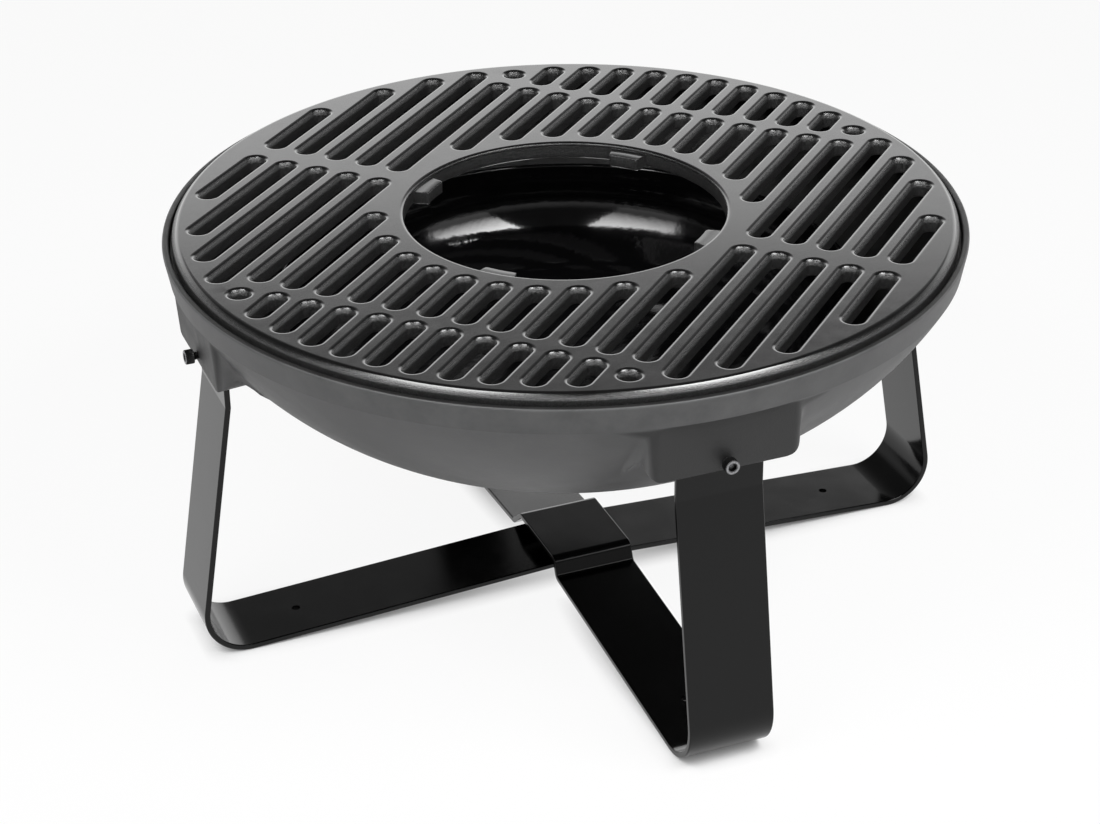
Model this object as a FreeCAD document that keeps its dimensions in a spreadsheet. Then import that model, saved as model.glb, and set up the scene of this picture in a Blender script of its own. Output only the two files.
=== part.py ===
import FreeCAD, Part
import math
import os

import Sketcher

# Cast iron fire pit: a round bowl on two crossing bent straps, a pan in it and a loose slotted grate on top.
# Millimetres, +Z up, origin on the floor below the centre of the bowl.
# X runs along the lower strap (left and right legs), Y along the upper strap (front leg at -Y).

Vector = FreeCAD.Vector
Constraint = Sketcher.Constraint

# Driving sizes

SIZES = [
    # whole object
    ("overall_height", 282.0, "top of the grate above the floor"),
    # bowl
    ("rim_outer_radius", 276.0, "outside of the rim at its top"),
    ("rim_wall", 4.2, "wall of the rim beside the grate"),
    ("rim_edge", 1.5, "chamfers of both top edges of the rim"),
    ("band_height", 20.0, "near-vertical band below the rim's top"),
    ("band_draft", 2.5, "how much the band draws in over its height"),
    ("bowl_depth", 153.0, "rim's top down to the underside of the base"),
    ("base_radius", 50.0, "flat round base of the bowl"),
    ("bowl_wall", 5.5, "wall of the dome and of the base"),
    ("seat_width", 9.5, "ledge that carries the grate"),
    # fire pan
    ("pan_floor_radius", 139.5, "flat floor of the pan"),
    ("pan_round", 60.0, "inner rounding from the pan's floor to its wall"),
    ("pan_wall", 4.0, "wall and floor of the pan"),
    ("pan_lip", 11.0, "upright part of the pan's wall above the rounding"),
    ("pan_edge", 1.2, "chamfers of both top edges of the pan"),
    ("pan_clearance", 0.3, "room between the pan's rounding and the dome that carries it"),
    # lugs
    ("lug_inset", 10.5, "flat face of a lug inside the lower edge of the band"),
    ("lug_width", 106.0, "width of a lug across its straight sides"),
    ("lug_height", 42.0, "lug below the band"),
    ("lug_edge_round", 8.0, "rounding of the upright edges of a lug"),
    ("lug_corner_round", 9.0, "rounding of the lower corners of a lug"),
    ("lug_flare", 10.0, "hollow rounding from a lug's side into the dome"),
    ("lug_flare_depth", 13.0, "lug's face back to the start of the flare"),
    ("lug_wall", 6.0, "iron in front of the slot for the leg"),
    ("slot_side_clearance", 1.0, "room at each side of the leg's end in its slot"),
    ("slot_face_clearance", 0.3, "room at each face of the leg's end in its slot"),
    # grate
    ("grate_thickness", 12.0, "thickness of the grate"),
    ("grate_proud", 5.0, "grate's top above the rim"),
    ("grate_clearance", 2.3, "gap between the grate and the rim"),
    ("grate_edge", 2.0, "chamfers of the grate's upper edges"),
    ("hole_radius", 111.6, "round hole in the middle of the grate"),
    ("slot_pitch", 25.0, "from one column of slots to the next"),
    ("slot_width", 14.5, "width of a slot"),
    ("outer_land", 19.0, "grate's wall to the centres of the outer slot ends"),
    ("inner_land", 19.5, "hole's wall to the centres of the inner slot ends"),
    ("centre_rib", 16.7, "rib across the middle, between the slot ends"),
    ("second_rib", 9.5, "rib between the long and the short slots"),
    ("second_rib_distance", 190.0, "middle of the second rib from the grate's centre"),
    ("second_rib_reach", 150.0, "second rib to each side of the middle"),
    ("shortest_slot", 10.0, "between the end centres; a shorter one becomes a round hole"),
    ("tab_width", 25.0, "short tabs in the hole"),
    ("tab_reach", 11.0, "tabs beyond the hole's wall"),
    ("tab_drop", 3.0, "tabs below the grate's top"),
    ("slot_turn", 43.3, "degrees from X to the direction of the slots"),
    # straps
    ("strap_width", 60.0, "flat bar across"),
    ("strap_thickness", 4.0, "flat bar through"),
    ("foot_overhang", 7.0, "outermost point of a foot beyond the rim"),
    ("foot_bend", 32.0, "outer radius of a foot's bend"),
    ("knee_bend", 6.0, "radius of the knee on the middle of the bar"),
    ("knee_drop", 21.5, "knee below the lug"),
    ("crown_height", 14.4, "middle of the lower strap above the floor"),
    ("crown_bend", 300.0, "gentle bend in the middle of the lower strap"),
    ("joggle_bend", 5.0, "bends of the raised part of the upper strap"),
    ("joggle_gap", 10.6, "room between the crown and the raised bar above it"),
    ("joggle_front_start", 21.0, "start of the rise in front of the lower strap's edge"),
    ("joggle_front_end", 15.5, "end of the rise in front of the lower strap's edge"),
    ("joggle_back_start", 10.0, "start of the fall before the lower strap's back edge"),
    ("joggle_back_end", 5.0, "end of the fall behind the lower strap's back edge"),
    ("joggle_step", 2.1, "middle of the bar above the crown where the rise starts"),
    ("anchor_hole_radius", 3.0, "holes in the floor run for fixing down"),
    ("anchor_inset", 73.0, "anchor holes from the outermost point of the foot"),
    # screws
    ("screw_radius", 3.0, "shank of a leg screw"),
    ("screw_length", 16.0, "shank below the head"),
    ("screw_head_radius", 5.0, "head of a leg screw"),
    ("screw_head_height", 6.0, "height of the head"),
    ("screw_socket", 5.0, "hexagon socket across its flats"),
    ("screw_socket_depth", 3.0, "depth of the socket"),
    ("screw_stand_off", 5.5, "head above the lug's face"),
    ("screw_drop", 35.5, "screw's axis below the band"),
    ("screw_hole_clearance", 0.3, "room round the shank in the lug"),
    ("thread_clearance", 0.1, "room round the shank in the leg's end"),
    ("screw_tip_room", 2.5, "blind hole beyond the screw's tip"),
    ("leg_top_margin", 7.5, "leg's end above the screw's axis"),
]

LUG_COUNT = 4
TAB_COUNT = 4

doc = FreeCAD.newDocument("fire_pit")
sheet = doc.addObject("Spreadsheet::Sheet", "Sizes")
for row, (alias, size, meaning) in enumerate(SIZES, start=1):
    sheet.set(f"A{row}", alias)
    sheet.set(f"B{row}", str(size))
    sheet.set(f"C{row}", meaning)
    sheet.setAlias(f"B{row}", alias)
doc.recompute()


def cell(alias):
    # the sheet's value as a term of an expression
    return f"Sizes.{alias}"


def number(expression):
    # what an expression is worth now
    return float(sheet.evalExpression(expression))


# Levels and distances that several pieces share

rim_top = f"({cell('overall_height')} - {cell('grate_proud')})"
seat_level = f"({cell('overall_height')} - {cell('grate_thickness')})"
band_level = f"({rim_top} - {cell('band_height')})"
band_radius = f"({cell('rim_outer_radius')} - {cell('band_draft')})"
base_level = f"({rim_top} - {cell('bowl_depth')})"
rim_inner_radius = f"({cell('rim_outer_radius')} - {cell('rim_wall')})"
seat_radius = f"({rim_inner_radius} - {cell('seat_width')})"
grate_radius = f"({rim_inner_radius} - {cell('grate_clearance')})"

lug_distance = f"({band_radius} - {cell('lug_inset')})"
lug_level = f"({band_level} - {cell('lug_height')})"
screw_level = f"({band_level} - {cell('screw_drop')})"
leg_top = f"({screw_level} + {cell('leg_top_margin')})"
leg_slot_outside = f"({lug_distance} - {cell('lug_wall')})"
leg_face = f"({leg_slot_outside} - {cell('slot_face_clearance')})"
leg_middle = f"({leg_face} - {cell('strap_thickness')} / 2)"
leg_slot_inside = f"({leg_face} - {cell('strap_thickness')} - {cell('slot_face_clearance')})"
knee_level = f"({lug_level} - {cell('knee_drop')})"
screw_seat = f"({lug_distance} + {cell('screw_stand_off')})"
screw_tip = f"({screw_seat} - {cell('screw_length')})"

foot_reach = f"({cell('rim_outer_radius')} + {cell('foot_overhang')})"
anchor_distance = f"({foot_reach} - {cell('anchor_inset')})"
strap_edge = f"({cell('strap_width')} / 2)"
joggle_low_level = f"({cell('crown_height')} + {cell('joggle_step')})"
joggle_level = f"({cell('crown_height')} + {cell('strap_thickness')} + {cell('joggle_gap')})"

# The dome is an arc that starts level at the edge of the base and ends at the band.
dome_run = f"({band_radius} - {cell('base_radius')})"
dome_rise = f"({band_level} - {base_level})"
dome_radius = f"(({dome_run} ^ 2 + {dome_rise} ^ 2) / (2 * {dome_rise}))"
dome_inner_radius = f"({dome_radius} - {cell('bowl_wall')})"
dome_centre_level = f"({base_level} + {dome_radius})"
seat_foot_level = (
    f"({dome_centre_level} - sqrt({dome_inner_radius} ^ 2 - ({seat_radius} - {cell('base_radius')}) ^ 2))"
)

# The pan's rounding lies inside the dome's arc and comes nearest to it on the line through both centres.
pan_outer_round = f"({cell('pan_round')} + {cell('pan_wall')})"
pan_centre_distance = f"({dome_inner_radius} - {cell('pan_clearance')} - {pan_outer_round})"
pan_centre_run = f"({cell('pan_floor_radius')} - {cell('base_radius')})"
pan_round_level = f"({dome_centre_level} - sqrt({pan_centre_distance} ^ 2 - {pan_centre_run} ^ 2))"
pan_rim_level = f"({pan_round_level} + {cell('pan_lip')})"
pan_radius = f"({cell('pan_floor_radius')} + {pan_outer_round})"
pan_inner_radius = f"({cell('pan_floor_radius')} + {cell('pan_round')})"


# Helpers for sketches

def origin_plane(body, role):
    return next(feature for feature in body.Origin.OriginFeatures if feature.Role == role)


def new_sketch(body, name, role, offset=None):
    # sketch on one of the body's own planes, moved along that plane's normal by an expression
    sketch = body.newObject("Sketcher::SketchObject", name)
    sketch.AttachmentSupport = [(origin_plane(body, role), "")]
    sketch.MapMode = "FlatFace"
    if offset is not None:
        sketch.setExpression("AttachmentOffset.Base.z", offset)
    return sketch


def bind(sketch, kind, *where):
    # last entry of where is the expression that drives the dimension
    *geometry, expression = where
    index = sketch.addConstraint(Constraint(kind, *geometry, number(expression)))
    sketch.setExpression(f"Constraints[{index}]", expression)


def outline(sketch, corners, arcs=()):
    # Closed outline through corners given as pairs of expressions.
    # arcs maps the number of a side to (radius, turns left): that side is an arc, not a line.
    arcs = dict(arcs)
    points = [Vector(number(across), number(up), 0) for across, up in corners]
    count = len(points)
    base = sketch.GeometryCount
    for side in range(count):
        start = points[side]
        end = points[(side + 1) % count]
        if side in arcs:
            radius, turns_left = arcs[side]
            sketch.addGeometry(arc_between(start, end, number(radius), turns_left), False)
        else:
            sketch.addGeometry(Part.LineSegment(start, end), False)
    heads = [2 if side in arcs and not arcs[side][1] else 1 for side in range(count)]
    for side in range(count):
        following = (side + 1) % count
        sketch.addConstraint(
            Constraint("Coincident", base + side, 3 - heads[side], base + following, heads[following])
        )
    for side, (across, up) in enumerate(corners):
        bind(sketch, "DistanceX", base + side, heads[side], across)
        bind(sketch, "DistanceY", base + side, heads[side], up)
    for side, (radius, turns_left) in arcs.items():
        bind(sketch, "Radius", base + side, radius)


def arc_between(start, end, radius, turns_left):
    # the shorter arc from start to end, with its centre on the left or on the right of the way
    chord = end - start
    middle = (start + end) * 0.5
    height = math.sqrt(max(radius ** 2 - (chord.Length / 2) ** 2, 0.0))
    left = Vector(-chord.y, chord.x, 0).normalize()
    centre = middle + left * (height if turns_left else -height)
    first, second = (start, end) if turns_left else (end, start)
    angles = [math.atan2(point.y - centre.y, point.x - centre.x) for point in (first, second)]
    return Part.ArcOfCircle(Part.Circle(centre, Vector(0, 0, 1), radius), *angles)


def rectangle(sketch, low_x, low_y, high_x, high_y):
    outline(sketch, [(low_x, low_y), (high_x, low_y), (high_x, high_y), (low_x, high_y)])


def circle(sketch, across, up, radius):
    index = sketch.addGeometry(
        Part.Circle(Vector(number(across), number(up), 0), Vector(0, 0, 1), number(radius)), False
    )
    bind(sketch, "DistanceX", index, 3, across)
    bind(sketch, "DistanceY", index, 3, up)
    bind(sketch, "Radius", index, radius)


def slot(sketch, first, last, across):
    # slot along the sketch's X, between two centres, with round ends as wide as the slot
    first, last = sorted((first, last), key=number)
    radius = number(f"{cell('slot_width')} / 2")
    start = Vector(number(first), number(across), 0)
    end = Vector(number(last), number(across), 0)
    side = Vector(0, radius, 0)
    up = Vector(0, 0, 1)
    left = sketch.addGeometry(
        Part.ArcOfCircle(Part.Circle(start, up, radius), math.pi / 2, 3 * math.pi / 2), False
    )
    low = sketch.addGeometry(Part.LineSegment(start - side, end - side), False)
    right = sketch.addGeometry(
        Part.ArcOfCircle(Part.Circle(end, up, radius), -math.pi / 2, math.pi / 2), False
    )
    high = sketch.addGeometry(Part.LineSegment(end + side, start + side), False)
    sketch.addConstraint([
        Constraint("Tangent", left, 2, low, 1),
        Constraint("Tangent", low, 2, right, 1),
        Constraint("Tangent", right, 2, high, 1),
        Constraint("Tangent", high, 2, left, 1),
        Constraint("Equal", left, right),
        Constraint("Horizontal", low),
    ])
    bind(sketch, "Radius", left, f"{cell('slot_width')} / 2")
    bind(sketch, "DistanceX", left, 3, first)
    bind(sketch, "DistanceY", left, 3, across)
    bind(sketch, "DistanceX", right, 3, last)


def new_body(label):
    body = doc.addObject("PartDesign::Body", label)
    body.Label = label
    return body


def revolve(body, sketch, name, kind="PartDesign::Revolution"):
    # full turn about the upright axis of the sketch
    feature = body.newObject(kind, name)
    feature.Profile = sketch
    feature.ReferenceAxis = (sketch, ["V_Axis"])
    feature.Angle = 360
    return feature


def pad(body, sketch, name, length):
    feature = body.newObject("PartDesign::Pad", name)
    feature.Profile = sketch
    feature.setExpression("Length", length)
    return feature


def pocket(body, sketch, name, length, forwards=True):
    # forwards cuts along the sketch's normal
    feature = body.newObject("PartDesign::Pocket", name)
    feature.Profile = sketch
    feature.Reversed = forwards
    feature.setExpression("Length", length)
    return feature


def check_cut(before, after, what):
    # a cut that points away from the iron removes nothing
    doc.recompute()
    if after.Shape.Volume > before.Shape.Volume - 1:
        raise RuntimeError(f"{what} removed nothing")


# Bowl

def build_bowl():
    body = new_body("fire_bowl")

    outside = new_sketch(body, "bowl_outside_profile", "XZ_Plane")
    outline(
        outside,
        [
            ("0", base_level),
            (cell("base_radius"), base_level),
            (band_radius, band_level),
            (cell("rim_outer_radius"), f"{rim_top} - {cell('rim_edge')}"),
            (f"{cell('rim_outer_radius')} - {cell('rim_edge')}", rim_top),
            ("0", rim_top),
        ],
        {1: (dome_radius, True)},
    )
    shell = revolve(body, outside, "bowl_outside")

    # lug: flat face, rounded upright edges and hollow flares into the dome, seen from above
    half_width = f"({cell('lug_width')} / 2)"
    edge = cell("lug_edge_round")
    flare = cell("lug_flare")
    flare_start = f"({lug_distance} - {cell('lug_flare_depth')})"
    flare_end = f"({flare_start} - {flare})"
    root = f"({flare_end} - 3 * {flare})"
    lug_plan = new_sketch(body, "lug_plan", "XY_Plane", lug_level)
    outline(
        lug_plan,
        [
            (root, f"-({half_width} + {flare})"),
            (flare_end, f"-({half_width} + {flare})"),
            (flare_start, f"-{half_width}"),
            (f"{lug_distance} - {edge}", f"-{half_width}"),
            (lug_distance, f"-({half_width} - {edge})"),
            (lug_distance, f"{half_width} - {edge}"),
            (f"{lug_distance} - {edge}", half_width),
            (flare_start, half_width),
            (flare_end, f"{half_width} + {flare}"),
            (root, f"{half_width} + {flare}"),
        ],
        {1: (flare, False), 3: (edge, True), 5: (edge, True), 7: (flare, False)},
    )
    lug = pad(body, lug_plan, "lug", cell("lug_height"))
    doc.recompute()

    # the lug's flat face runs up to the band, so the dome in front of it goes
    flat_plan = new_sketch(body, "lug_flat_plan", "XY_Plane", lug_level)
    rectangle(flat_plan, lug_distance, f"-{half_width}", cell("rim_outer_radius"), half_width)
    flat = pocket(body, flat_plan, "lug_flat", cell("lug_height"))
    check_cut(lug, flat, "lug flat")

    # rounded lower corners of the lug, cut from the flare outwards
    corner = cell("lug_corner_round")
    corners = new_sketch(body, "lug_corners", "YZ_Plane", flare_start)
    for sign, turns_left in (("-", False), ("", True)):
        outline(
            corners,
            [
                (f"{sign}({half_width} - {corner})", lug_level),
                (f"{sign}{half_width}", f"{lug_level} + {corner}"),
                (f"{sign}{half_width}", lug_level),
            ],
            {0: (corner, turns_left)},
        )
    rounded = pocket(body, corners, "lug_corner_rounds", f"{cell('lug_flare_depth')} + {edge}")
    check_cut(flat, rounded, "lug corners")

    # slot from below for the leg's end
    leg_half = f"({strap_edge} + {cell('slot_side_clearance')})"
    slot_plan = new_sketch(body, "leg_slot_plan", "XY_Plane", lug_level)
    rectangle(slot_plan, leg_slot_inside, f"-{leg_half}", leg_slot_outside, leg_half)
    leg_slot = pocket(body, slot_plan, "leg_slot", f"{leg_top} - {lug_level}")
    check_cut(rounded, leg_slot, "leg slot")

    # screw hole through the lug, blind beyond the leg's end
    hole_end = f"({screw_tip} - {cell('screw_tip_room')})"
    hole_plan = new_sketch(body, "screw_hole_plan", "YZ_Plane", hole_end)
    circle(hole_plan, "0", screw_level, f"{cell('screw_radius')} + {cell('screw_hole_clearance')}")
    hole = pocket(body, hole_plan, "screw_hole", f"{lug_distance} - {hole_end} + {edge}")
    check_cut(leg_slot, hole, "screw hole")

    ring = body.newObject("PartDesign::PolarPattern", "lug_ring")
    ring.Originals = [lug, flat, rounded, leg_slot, hole]
    ring.Axis = (origin_plane(body, "Z_Axis"), [""])
    ring.Angle = 360
    ring.Occurrences = LUG_COUNT
    body.Tip = ring
    doc.recompute()

    # inside: dome, upright wall below the seat, seat for the grate and chamfered rim
    above = f"({rim_top} + {cell('rim_edge')})"
    inside = new_sketch(body, "bowl_inside_profile", "XZ_Plane")
    outline(
        inside,
        [
            ("0", f"{base_level} + {cell('bowl_wall')}"),
            (cell("base_radius"), f"{base_level} + {cell('bowl_wall')}"),
            (seat_radius, seat_foot_level),
            (seat_radius, seat_level),
            (rim_inner_radius, seat_level),
            (rim_inner_radius, f"{rim_top} - {cell('rim_edge')}"),
            (f"{rim_inner_radius} + {cell('rim_edge')}", rim_top),
            (f"{rim_inner_radius} + {cell('rim_edge')}", above),
            ("0", above),
        ],
        {1: (dome_inner_radius, True)},
    )
    hollow = revolve(body, inside, "bowl_inside", "PartDesign::Groove")
    check_cut(ring, hollow, "bowl inside")
    return body


# Fire pan

def build_pan():
    # round pan that stands in the bowl, with a flat floor, a wide rounding and a short upright wall
    body = new_body("fire_pan")
    edge = cell("pan_edge")
    profile = new_sketch(body, "pan_profile", "XZ_Plane")
    outline(
        profile,
        [
            ("0", f"{pan_round_level} - {pan_outer_round}"),
            (cell("pan_floor_radius"), f"{pan_round_level} - {pan_outer_round}"),
            (pan_radius, pan_round_level),
            (pan_radius, f"{pan_rim_level} - {edge}"),
            (f"{pan_radius} - {edge}", pan_rim_level),
            (f"{pan_inner_radius} + {edge}", pan_rim_level),
            (pan_inner_radius, f"{pan_rim_level} - {edge}"),
            (pan_inner_radius, pan_round_level),
            (cell("pan_floor_radius"), f"{pan_round_level} - {cell('pan_round')}"),
            ("0", f"{pan_round_level} - {cell('pan_round')}"),
        ],
        {1: (pan_outer_round, True), 7: (cell("pan_round"), False)},
    )
    revolve(body, profile, "pan_shell")
    return body


# Grate

def column_reach(circle_radius, across):
    # where a column of slots meets a circle about the grate's centre
    return f"sqrt({circle_radius} ^ 2 - {across} ^ 2)"


def build_grate():
    # built with its slots along X, then turned and set on the bowl's seat
    body = new_body("grill_grate")
    thickness = cell("grate_thickness")
    edge = cell("grate_edge")
    hole = cell("hole_radius")

    profile = new_sketch(body, "grate_profile", "XZ_Plane")
    outline(
        profile,
        [
            (hole, "0"),
            (grate_radius, "0"),
            (grate_radius, f"{thickness} - {edge}"),
            (f"{grate_radius} - {edge}", thickness),
            (f"{hole} + {edge}", thickness),
            (hole, f"{thickness} - {edge}"),
        ],
    )
    ring = revolve(body, profile, "grate_ring")

    # four tabs in the hole, on the two axes of the slot pattern
    half_tab = f"({cell('tab_width')} / 2)"
    tab_plan = new_sketch(body, "tab_plan", "XY_Plane")
    rectangle(tab_plan, f"{hole} - {cell('tab_reach')}", f"-{half_tab}", f"{hole} + {edge}", half_tab)
    tab = pad(body, tab_plan, "tab", f"{thickness} - {cell('tab_drop')}")
    tabs = body.newObject("PartDesign::PolarPattern", "tabs")
    tabs.Originals = [tab]
    tabs.Axis = (origin_plane(body, "Z_Axis"), [""])
    tabs.Angle = 360
    tabs.Occurrences = TAB_COUNT
    body.Tip = tabs
    doc.recompute()

    # slots of one quarter and its mirror image, then both turned half round
    quarters = [slot_quarter(body, side, sign) for side, sign in (("right", ""), ("left", "-"))]
    check_cut(tabs, quarters[0], "slots")
    check_cut(quarters[0], quarters[1], "mirrored slots")
    pattern = body.newObject("PartDesign::PolarPattern", "slot_pattern")
    pattern.Originals = quarters
    pattern.Axis = (origin_plane(body, "Z_Axis"), [""])
    pattern.Angle = 360
    pattern.Occurrences = 2
    body.Tip = pattern
    check_cut(quarters[1], pattern, "slot pattern")

    body.Placement = FreeCAD.Placement(Vector(), FreeCAD.Rotation(Vector(0, 0, 1), number(cell("slot_turn"))))
    body.setExpression("Placement.Rotation.Angle", f"{cell('slot_turn')} * 1 deg")
    body.setExpression("Placement.Base.z", seat_level)
    return body


def slot_quarter(body, side, sign):
    end = f"({cell('slot_width')} / 2)"
    outer_circle = f"({grate_radius} - {cell('outer_land')})"
    inner_circle = f"({cell('hole_radius')} + {cell('inner_land')})"
    past_centre_rib = f"({cell('centre_rib')} / 2 + {end})"
    before_second_rib = f"({cell('second_rib_distance')} - {cell('second_rib')} / 2 - {end})"
    past_second_rib = f"({cell('second_rib_distance')} + {cell('second_rib')} / 2 + {end})"

    plan = new_sketch(body, f"slots_{side}", "XY_Plane")
    column_count = math.floor(number(f"{outer_circle} / {cell('slot_pitch')}"))
    for column in range(column_count):
        across = f"({column + 0.5} * {cell('slot_pitch')})"
        outside = column_reach(outer_circle, across)
        inside = past_centre_rib
        if number(f"{inner_circle} - {across}") > 0:
            inside = max(past_centre_rib, column_reach(inner_circle, across), key=number)
        stretches = [(inside, outside)]
        if number(f"{cell('second_rib_reach')} - {across}") > 0:
            stretches = [(inside, before_second_rib), (past_second_rib, outside)]
        for first, last in stretches:
            length = number(f"{last} - {first}")
            if length >= number(cell("shortest_slot")):
                slot(plan, f"{sign}{first}", f"{sign}{last}", across)
            elif length >= 0:
                # too short for a slot, so a round hole stands there
                circle(plan, f"{sign}(({first} + {last}) / 2)", across, end)
    return pocket(body, plan, f"slots_cut_{side}", cell("grate_thickness"))


# Leg straps

def bent_bar(body, ends, bends):
    # Flat bar swept along its middle line, which lies in the XZ plane.
    # ends are the two end points; each bend is (corner or centre, X, Z, radius), in order along the bar.
    path = new_sketch(body, "middle_line", "XZ_Plane")
    corners = bend_corners(ends, bends)
    tangents = []
    for index, bend in enumerate(bends):
        before, corner, after = corners[index:index + 3]
        tangents.append(bend_arc(before, corner, after, number(bend[3])))
    starts = [corners[0]] + [last for first, last, arc in tangents]
    stops = [first for first, last, arc in tangents] + [corners[-1]]
    lines = [path.addGeometry(Part.LineSegment(a, b), False) for a, b in zip(starts, stops)]
    arcs = [path.addGeometry(arc, False) for first, last, arc in tangents]
    for index, (kind, across, up, radius) in enumerate(bends):
        first, last, arc = tangents[index]
        arc_start = 1 if arc.StartPoint.distanceToPoint(first) < arc.EndPoint.distanceToPoint(first) else 2
        path.addConstraint([
            Constraint("Tangent", lines[index], 2, arcs[index], arc_start),
            Constraint("Tangent", arcs[index], 3 - arc_start, lines[index + 1], 1),
        ])
        bind(path, "Radius", arcs[index], radius)
        if kind == "centre":
            bind(path, "DistanceX", arcs[index], 3, across)
            bind(path, "DistanceY", arcs[index], 3, up)
        else:
            point = path.addGeometry(Part.Point(corners[index + 1]), True)
            path.addConstraint([
                Constraint("PointOnObject", point, 1, lines[index]),
                Constraint("PointOnObject", point, 1, lines[index + 1]),
            ])
            bind(path, "DistanceX", point, 1, across)
            bind(path, "DistanceY", point, 1, up)
    for line, end, (across, up) in ((lines[0], 1, ends[0]), (lines[-1], 2, ends[1])):
        bind(path, "DistanceX", line, end, across)
        bind(path, "DistanceY", line, end, up)

    section = new_sketch(body, "bar_section", "XY_Plane", ends[0][1])
    half_thickness = f"({cell('strap_thickness')} / 2)"
    rectangle(
        section,
        f"{ends[0][0]} - {half_thickness}",
        f"-{strap_edge}",
        f"{ends[0][0]} + {half_thickness}",
        strap_edge,
    )
    doc.recompute()
    bar = body.newObject("PartDesign::AdditivePipe", "bent_bar")
    bar.Profile = section
    bar.Spine = path
    doc.recompute()
    return bar


def bend_corners(ends, bends):
    # corner points of the middle line; a bend given by its centre has its corner where the tangents meet
    points = [Vector(number(across), number(up), 0) for across, up in ends]
    corners = [points[0]] + [Vector(number(bend[1]), number(bend[2]), 0) for bend in bends] + [points[1]]
    for index, (kind, across, up, radius) in enumerate(bends, start=1):
        if kind == "centre":
            centre = corners[index]
            outwards = [
                tangent_normal(corners[index - 1], centre, number(radius)),
                tangent_normal(corners[index + 1], centre, number(radius)),
            ]
            total = outwards[0] + outwards[1]
            corners[index] = centre + total * (number(radius) / (1 + outwards[0].dot(outwards[1])))
    return corners


def tangent_normal(point, centre, radius):
    # unit vector from a foot's centre to where a line from point touches its circle, on the outer side
    reach = point - centre
    lean = math.acos(radius / reach.Length)
    heading = math.atan2(reach.y, reach.x)
    choices = [Vector(math.cos(heading + turn), math.sin(heading + turn), 0) for turn in (lean, -lean)]
    away = Vector(math.copysign(1, centre.x), -1, 0)
    return max(choices, key=lambda choice: choice.dot(away))


def bend_arc(before, corner, after, radius):
    # the points where a bend starts and ends, and its arc
    towards = (before - corner).normalize()
    onwards = (after - corner).normalize()
    half = towards.getAngle(onwards) / 2
    first = corner + towards * (radius / math.tan(half))
    last = corner + onwards * (radius / math.tan(half))
    turns_left = (towards * -1).cross(onwards).z > 0
    return first, last, arc_between(first, last, radius, turns_left)


def strap_holes(body, bar):
    # anchor holes in the floor run, and screw holes in the two upright ends
    anchors = new_sketch(body, "anchor_holes", "XY_Plane")
    for sign in ("-", ""):
        circle(anchors, f"{sign}{anchor_distance}", "0", cell("anchor_hole_radius"))
    anchored = pocket(body, anchors, "anchor_holes_cut", cell("foot_bend"))
    check_cut(bar, anchored, "anchor holes")

    screws = new_sketch(body, "screw_holes", "YZ_Plane", f"-{lug_distance}")
    circle(screws, "0", screw_level, f"{cell('screw_radius')} + {cell('thread_clearance')}")
    drilled = pocket(body, screws, "screw_holes_cut", f"2 * {lug_distance}")
    check_cut(anchored, drilled, "screw holes")


def leg_ends():
    return [(leg_middle, leg_top), (f"-{leg_middle}", leg_top)]


def leg_bends(side):
    # knee and foot of one leg; side is an empty text at +X and a minus sign at -X
    bar_radius = f"({cell('foot_bend')} - {cell('strap_thickness')} / 2)"
    knee = ("corner", f"{side}{leg_middle}", knee_level, cell("knee_bend"))
    foot = ("centre", f"{side}({foot_reach} - {cell('foot_bend')})", cell("foot_bend"), bar_radius)
    return [knee, foot]


def build_lower_strap():
    body = new_body("lower_leg_strap")
    crown = [("corner", "0", cell("crown_height"), cell("crown_bend"))]
    bar = bent_bar(body, leg_ends(), leg_bends("") + crown + leg_bends("-")[::-1])
    strap_holes(body, bar)
    return body


def build_upper_strap():
    # built along X with the front leg at +X, then turned to the front
    body = new_body("upper_leg_strap")
    bend = cell("joggle_bend")
    joggle = [
        ("corner", f"{strap_edge} + {cell('joggle_front_start')}", joggle_low_level, bend),
        ("corner", f"{strap_edge} + {cell('joggle_front_end')}", joggle_level, bend),
        ("corner", f"-({strap_edge} - {cell('joggle_back_start')})", joggle_level, bend),
        ("corner", f"-({strap_edge} + {cell('joggle_back_end')})", joggle_low_level, bend),
    ]
    bar = bent_bar(body, leg_ends(), leg_bends("") + joggle + leg_bends("-")[::-1])
    strap_holes(body, bar)
    body.Placement = FreeCAD.Placement(Vector(), FreeCAD.Rotation(Vector(0, 0, 1), -90))
    return body


# Screws

def build_screw(name, direction):
    # built upright with the underside of its head at the origin, then laid along its leg's direction
    body = new_body(f"leg_screw_{name}")
    head = cell("screw_head_radius")
    height = cell("screw_head_height")
    shank = cell("screw_radius")
    length = cell("screw_length")

    profile = new_sketch(body, "screw_profile", "XZ_Plane")
    outline(
        profile,
        [
            ("0", f"-{length}"),
            (shank, f"-{length}"),
            (shank, "0"),
            (head, "0"),
            (head, height),
            ("0", height),
        ],
    )
    turned = revolve(body, profile, "screw_blank")

    socket = new_sketch(body, "socket_plan", "XY_Plane", height)
    corner_radius = f"({cell('screw_socket')} / 2 / cos(30))"
    turns = [60 * corner for corner in range(6)]
    outline(socket, [(f"{corner_radius} * cos({turn})", f"{corner_radius} * sin({turn})") for turn in turns])
    drive = pocket(body, socket, "socket", cell("screw_socket_depth"), forwards=False)
    check_cut(turned, drive, "socket")

    heading = math.degrees(math.atan2(direction[1], direction[0]))
    turn = FreeCAD.Rotation(Vector(0, 0, 1), heading).multiply(FreeCAD.Rotation(Vector(0, 1, 0), 90))
    body.Placement = FreeCAD.Placement(Vector(), turn)
    body.setExpression("Placement.Base.x", f"{direction[0]} * {screw_seat}")
    body.setExpression("Placement.Base.y", f"{direction[1]} * {screw_seat}")
    body.setExpression("Placement.Base.z", screw_level)
    return body


# Build, test and write every piece

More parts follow.
